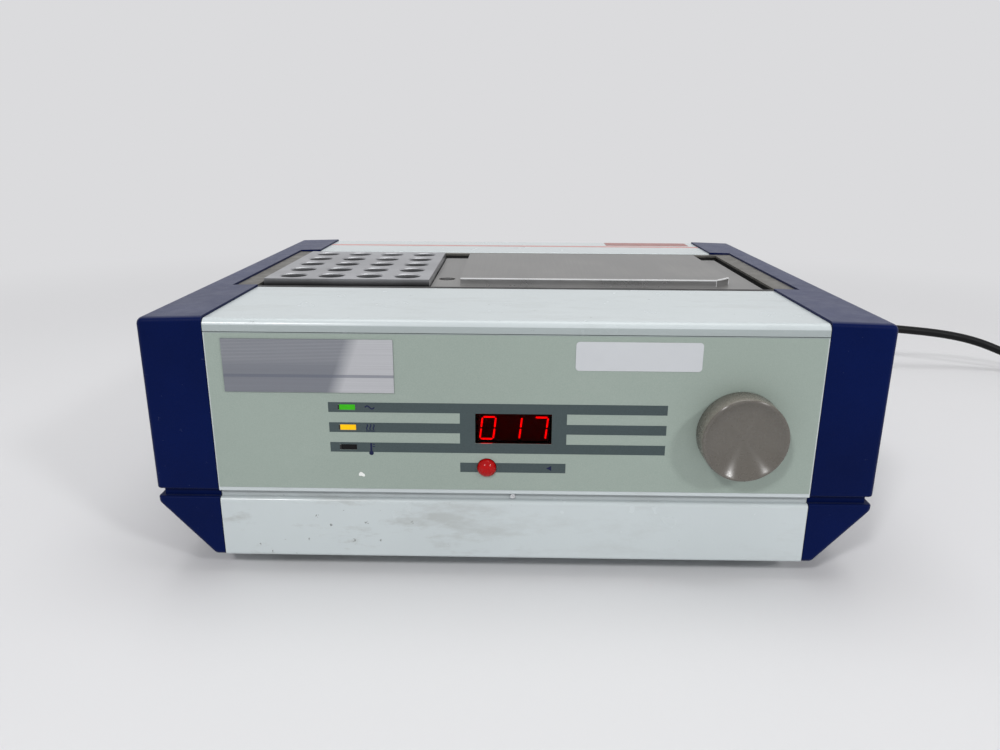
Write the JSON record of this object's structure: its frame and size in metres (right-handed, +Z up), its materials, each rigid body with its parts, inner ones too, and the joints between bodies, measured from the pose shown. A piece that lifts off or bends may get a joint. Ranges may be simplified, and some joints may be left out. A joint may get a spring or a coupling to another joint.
{
  "type": "dry bath incubator",
  "caption": "Bench block heater with moulded end caps, a digital display, a knob, and lift-out aluminium blocks for tubes and plates.",
  "frame": {"origin": "on the bench, under the middle of the housing from front of knob to back", "axes": "+Z up, +X to the right as seen from the front, the control panel faces -Y"},
  "size_m": [0.694, 0.3674, 0.1188],
  "materials": {
    "cap_navy": "fine spark texture, satin",
    "case_paint": "satin powder coat, pale blue grey",
    "well_edge": "bare sheet",
    "inner_steel": "plain sheet",
    "heater_metal": "milled",
    "block_metal": "clear anodised",
    "heater_silicone": "moulded",
    "insulation": "pressed fibre board",
    "overlay_print": "fine textured film with printed bars",
    "plate_metal": "brushed, bare",
    "label_white": "smooth film, bare",
    "display_red": "clear dark red",
    "display_black": "matt",
    "led_green": "diffused",
    "led_yellow": "diffused",
    "led_red": "diffused",
    "board_green": "solder mask",
    "spacer_brass": "turned",
    "button_red": "gloss",
    "switch_black": "moulded",
    "knob_grey": "gloss",
    "shaft_steel": "turned",
    "part_black": "moulded",
    "core_iron": "laminated",
    "coil_tape": "taped winding",
    "fuse_glass": "clear",
    "foot_rubber": "matt",
    "screw_steel": "zinc plated",
    "cord_black": "matt sheath",
    "plug_black": "moulded",
    "pin_brass": "nickel plated"
  },
  "bodies": {
    "case": {"right_end_cap": "cap_navy", "left_end_cap": "cap_navy", "base_tray": "case_paint", "front_panel": "case_paint", "front_cover": "case_paint", "rear_cover": "case_paint", "rear_panel": "case_paint", "right_side_plate": "inner_steel", "left_side_plate": "inner_steel", "well_frame": "well_edge", "well_liner": "inner_steel", "heater_plate": "heater_metal", "heater_mat": "heater_silicone", "clamp_plate": "inner_steel", "insulation_board": "insulation", "temperature_probe": "shaft_steel", "thermal_cutout": "part_black", "support_pillars": "inner_steel", "fascia_overlay": "overlay_print", "name_plate": "plate_metal", "asset_label": "label_white", "display_window": "display_red", "display_module": "display_black", "power_led": "led_green", "heat_led": "led_yellow", "limit_led": "led_red", "display_board": "board_green", "display_spacers": "spacer_brass", "button_switch": "switch_black", "temperature_pot": "part_black", "pot_nut": "shaft_steel", "control_board": "board_green", "board_stands": "spacer_brass", "board_components": "part_black", "transformer_core": "core_iron", "transformer_coil": "coil_tape", "heat_sink": "heater_metal", "triac": "part_black", "mains_switch": "switch_black", "fuse_holder": "switch_black", "fuse_link": "fuse_glass", "fuse_cap": "switch_black", "rubber_feet": "foot_rubber", "foot_screws": "screw_steel", "foot_nuts": "screw_steel", "cap_screws": "screw_steel", "groove_screw": "screw_steel", "strain_relief": "cord_black", "power_cord": "cord_black", "cord_coil": "cord_black", "cord_tie": "switch_black", "cord_tail": "cord_black", "mains_plug": "plug_black", "plug_pins": "pin_brass"},
    "tube_block": {"tube_block": "block_metal"},
    "plate_block": {"plate_block": "block_metal"},
    "knob": {"control_knob": "knob_grey", "pot_shaft": "shaft_steel"},
    "button": {"set_button": "button_red"},
    "rocker": {"mains_rocker": "switch_black"}
  },
  "joints": [
    {"name": "tube_block_lift", "type": "slide", "parent": "case", "child": "tube_block", "axis": [0, 0, 1], "range_m": [0, 0.055]},
    {"name": "plate_block_lift", "type": "slide", "parent": "case", "child": "plate_block", "axis": [0, 0, 1], "range_m": [0, 0.055]},
    {"name": "knob_turn", "type": "hinge", "parent": "case", "child": "knob", "pos_m": [0.095, -0.12525, 0.0704], "axis": [0, 1, 0], "range_deg": [-140, 140]},
    {"name": "button_press", "type": "slide", "parent": "case", "child": "button", "axis": [0, 1, 0], "range_m": [0, 0.002], "stiffness_N_per_m": 600, "springref_m": -0.0005},
    {"name": "power_rocker", "type": "hinge", "parent": "case", "child": "rocker", "pos_m": [0.086, 0.12075, 0.084], "axis": [1, 0, 0], "range_deg": [-16, 0]}
  ]
}
